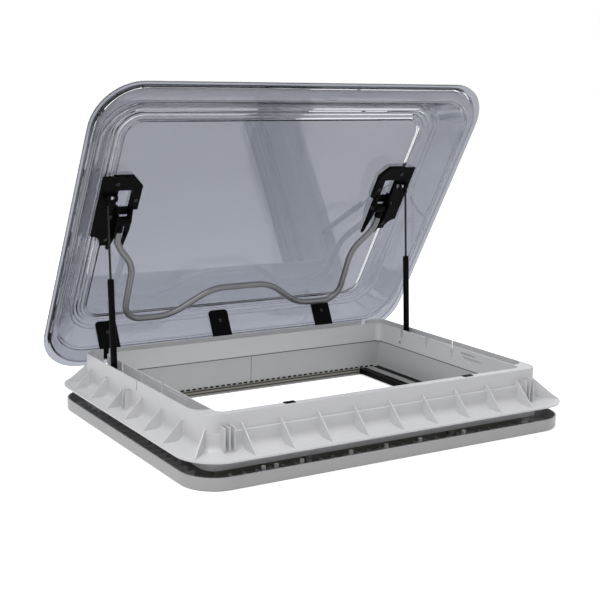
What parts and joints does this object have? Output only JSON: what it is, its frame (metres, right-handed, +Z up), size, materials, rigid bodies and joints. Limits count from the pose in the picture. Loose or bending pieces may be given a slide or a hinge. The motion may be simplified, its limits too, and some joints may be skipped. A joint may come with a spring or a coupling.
{
  "type": "rv skylight",
  "caption": "Hinged roof light for a caravan: clear double dome lid on gas struts with a bow handle, flanged roof frame, ceiling trim and sliding blinds.",
  "frame": {"origin": "centre of the roof cut-out, level with the underside of the frame's flange (the roof skin)", "axes": "+X along the long side towards the stowed blinds, +Y towards the hinges, +Z up out of the roof"},
  "size_m": [0.83, 0.616, 0.6097],
  "materials": {
    "grey_plastic": "satin",
    "white_plastic": "satin",
    "liner_grey": "satin",
    "beige_rail": "satin",
    "black_plastic": "satin",
    "screw_steel": "satin",
    "tinted_acrylic": "gloss",
    "bow_grey": "satin",
    "strut_black": "gloss",
    "rod_chrome": "polished",
    "flyscreen_cloth": "woven",
    "blackout_cloth": "woven"
  },
  "bodies": {
    "frame": {"roof_frame": "grey_plastic", "ceiling_trim": "white_plastic", "trim_screws": "screw_steel", "liner_left": "liner_grey", "liner_right": "liner_grey", "guide_rail_back": "beige_rail", "guide_rail_front": "beige_rail", "end_rail_left": "beige_rail", "end_rail_right": "beige_rail", "blind_cassette": "black_plastic", "flyscreen_pack": "flyscreen_cloth", "blackout_pack": "blackout_cloth", "hinge_base_left": "black_plastic", "hinge_base_middle": "black_plastic", "hinge_base_right": "black_plastic", "hinge_base_screws": "screw_steel", "hinge_pins": "screw_steel", "rim_clip_left": "black_plastic", "rim_clip_right": "black_plastic", "strut_foot_pins": "screw_steel"},
    "lid": {"dome_outer": "tinted_acrylic", "dome_inner": "tinted_acrylic", "hinge_strap_left": "black_plastic", "hinge_strap_middle": "black_plastic", "hinge_strap_right": "black_plastic", "strap_screws": "screw_steel", "bracket_left": "black_plastic", "bracket_right": "black_plastic", "bracket_screws": "screw_steel", "strut_ball_studs": "screw_steel", "bow_pins": "screw_steel"},
    "bow": {"bow_handle": "bow_grey", "bow_socket_left": "black_plastic", "bow_socket_right": "black_plastic"},
    "flyscreen": {"flyscreen_bar": "black_plastic"},
    "blackout": {"blackout_bar": "black_plastic"},
    "strut_left": {"strut_cylinder_left": "strut_black", "strut_foot_left": "black_plastic"},
    "rod_left": {"strut_rod_left": "rod_chrome", "strut_socket_left": "black_plastic"},
    "strut_right": {"strut_cylinder_right": "strut_black", "strut_foot_right": "black_plastic"},
    "rod_right": {"strut_rod_right": "rod_chrome", "strut_socket_right": "black_plastic"}
  },
  "joints": [
    {"name": "lid_hinge", "type": "hinge", "parent": "frame", "child": "lid", "pos_m": [0, 0.28, 0.038], "axis": [1, 0, 0], "range_deg": [0, 61.15], "stiffness_Nm_per_rad": 6, "springref_deg": -57.3},
    {"name": "bow_pivot", "type": "hinge", "parent": "lid", "child": "bow", "pos_m": [0, 0.19263, 0.30955], "axis": [1, 0, 0], "range_deg": [-167.8, 0]},
    {"name": "flyscreen_slide", "type": "slide", "parent": "frame", "child": "flyscreen", "axis": [-1, 0, 0], "range_m": [0, 0.578], "deforming": ["flyscreen_pack"]},
    {"name": "blackout_slide", "type": "slide", "parent": "frame", "child": "blackout", "axis": [-1, 0, 0], "range_m": [0, 0.578], "deforming": ["blackout_pack"]},
    {"name": "strut_left_foot", "type": "hinge", "parent": "frame", "child": "strut_left", "pos_m": [-0.332, 0.135, 0.033], "axis": [1, 0, 0], "range_deg": [0, 78.67]},
    {"name": "strut_left_rod", "type": "slide", "parent": "strut_left", "child": "rod_left", "axis": [0, 0.0822, 0.9966], "range_m": [-0.12586, 0]},
    {"name": "strut_right_foot", "type": "hinge", "parent": "frame", "child": "strut_right", "pos_m": [0.332, 0.135, 0.033], "axis": [1, 0, 0], "range_deg": [0, 78.67]},
    {"name": "strut_right_rod", "type": "slide", "parent": "strut_right", "child": "rod_right", "axis": [0, 0.0822, 0.9966], "range_m": [-0.12586, 0]}
  ],
  "couplings": [
    {"joint": "strut_left_foot", "follows": "lid_hinge", "ratio": 1.2862},
    {"joint": "strut_left_rod", "follows": "lid_hinge", "m_per_rad": -0.11783},
    {"joint": "strut_right_foot", "follows": "lid_hinge", "ratio": 1.2862},
    {"joint": "strut_right_rod", "follows": "lid_hinge", "m_per_rad": -0.11783}
  ]
}
